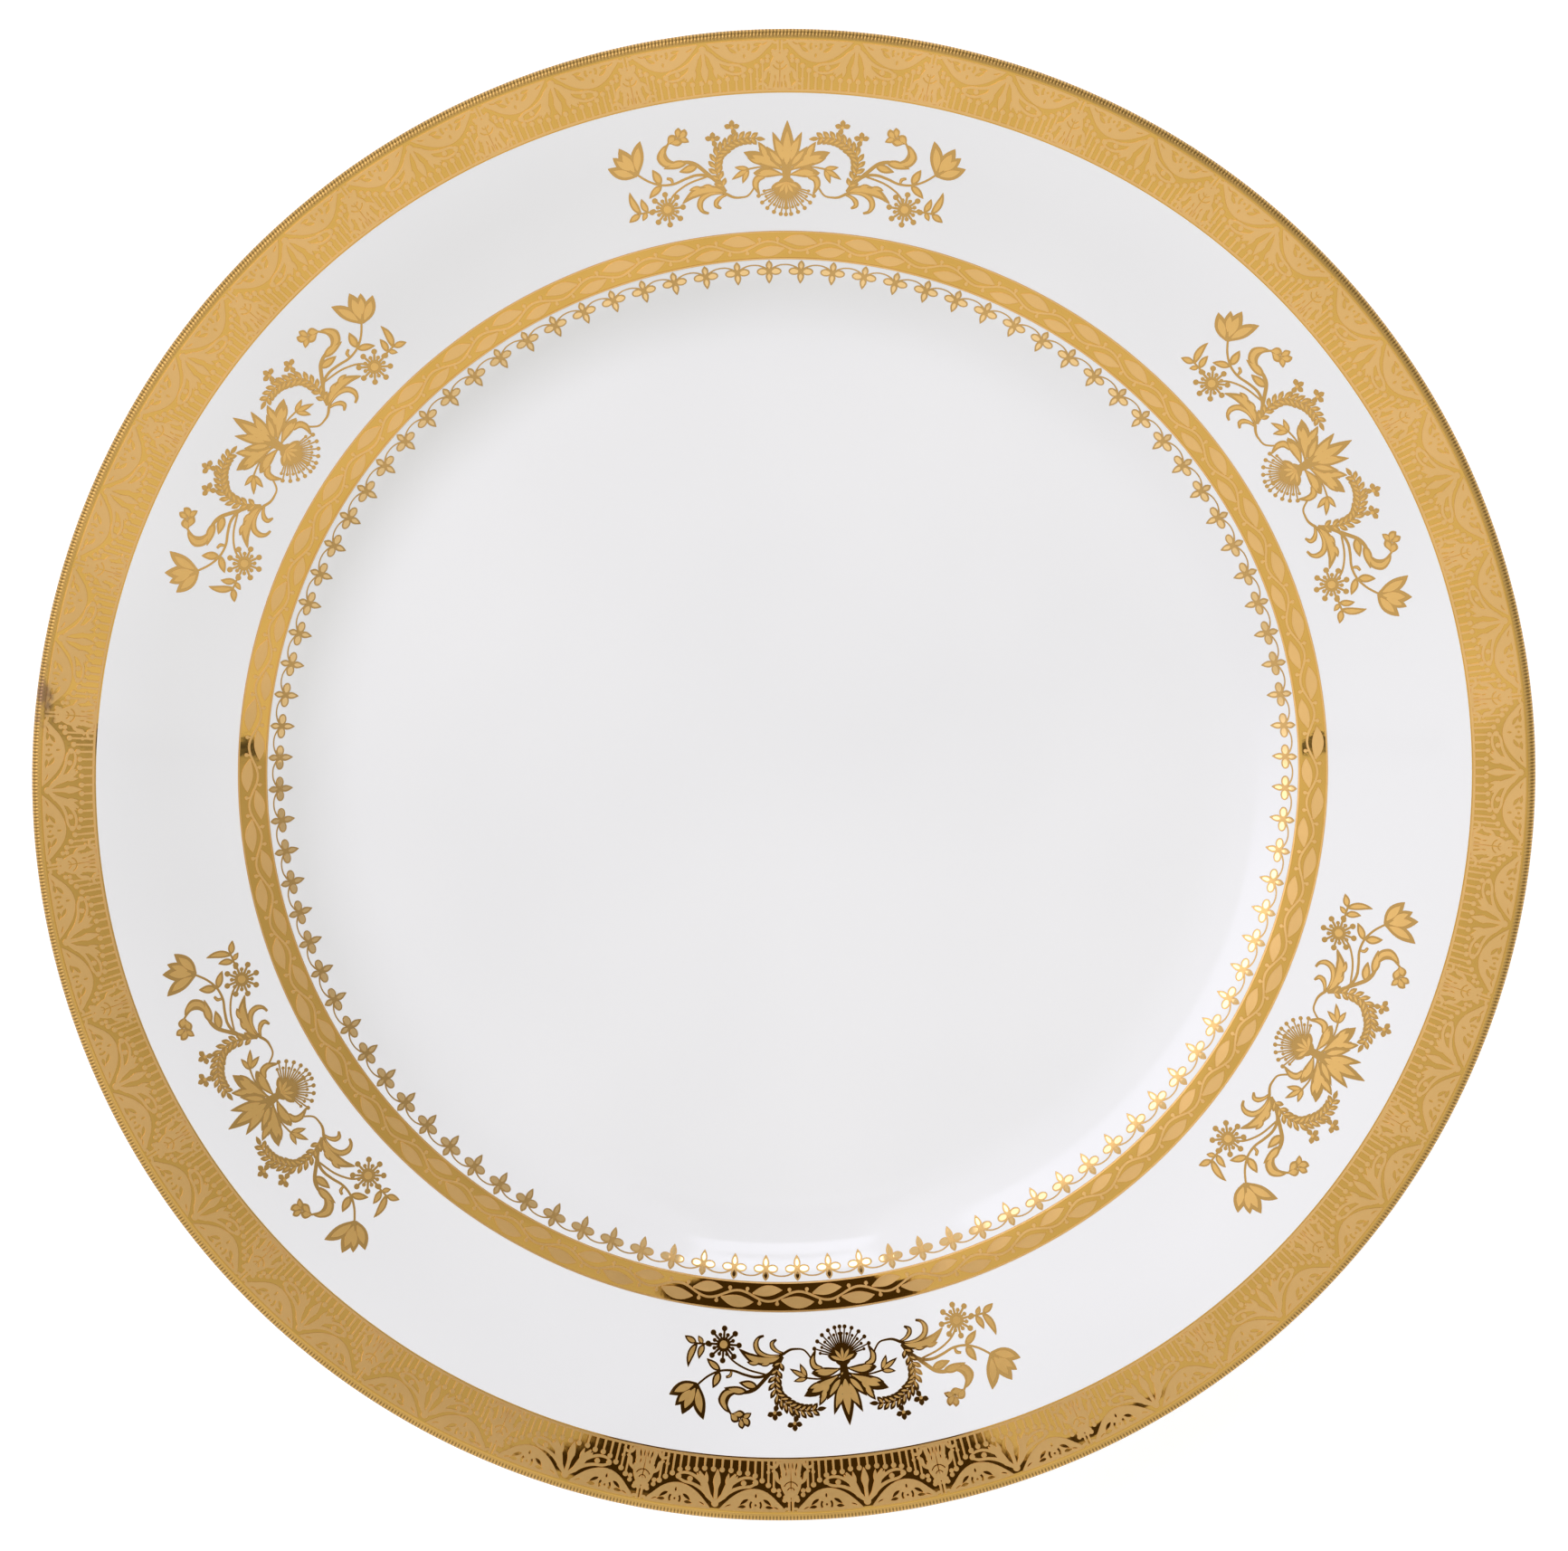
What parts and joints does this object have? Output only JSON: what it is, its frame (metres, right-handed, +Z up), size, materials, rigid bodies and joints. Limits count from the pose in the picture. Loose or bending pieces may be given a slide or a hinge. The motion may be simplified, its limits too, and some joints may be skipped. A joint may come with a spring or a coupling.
{
  "type": "dinner plate",
  "caption": "Round glazed porcelain dinner plate on a foot ring, with a shallow well, gilt rim and verge bands and gilt flower sprays; serves and displays food.",
  "frame": {"origin": "centre of the plate at the plane that its foot ring stands on", "axes": "+Z up through the plate's centre, the eating side facing +Z; +X and +Y in the table plane, with one flower spray near +Y"},
  "size_m": [0.2701, 0.2702, 0.0235],
  "materials": {
    "porcelain": "unglazed, fine matte",
    "glaze": "clear gloss glaze over white china",
    "bright_gold": "mirror-bright gilding",
    "matte_gold": "matte raised gilding"
  },
  "bodies": {
    "root": {"porcelain_body": "porcelain", "face_glaze": "glaze", "back_glaze": "glaze", "base_glaze": "glaze", "rim_gold_band": "bright_gold", "rim_edge_gold": "bright_gold", "inner_gold_band": "bright_gold", "rim_relief_borders": "matte_gold", "rim_relief_fans": "matte_gold", "rim_relief_swags": "matte_gold", "rim_relief_tassels": "matte_gold", "inner_relief_borders": "matte_gold", "inner_relief_leaves": "matte_gold", "fleuron_chain": "bright_gold", "floral_spray_1": "bright_gold", "floral_spray_2": "bright_gold", "floral_spray_3": "bright_gold", "floral_spray_4": "bright_gold", "floral_spray_5": "bright_gold", "floral_spray_6": "bright_gold"}
  },
  "joints": []
}
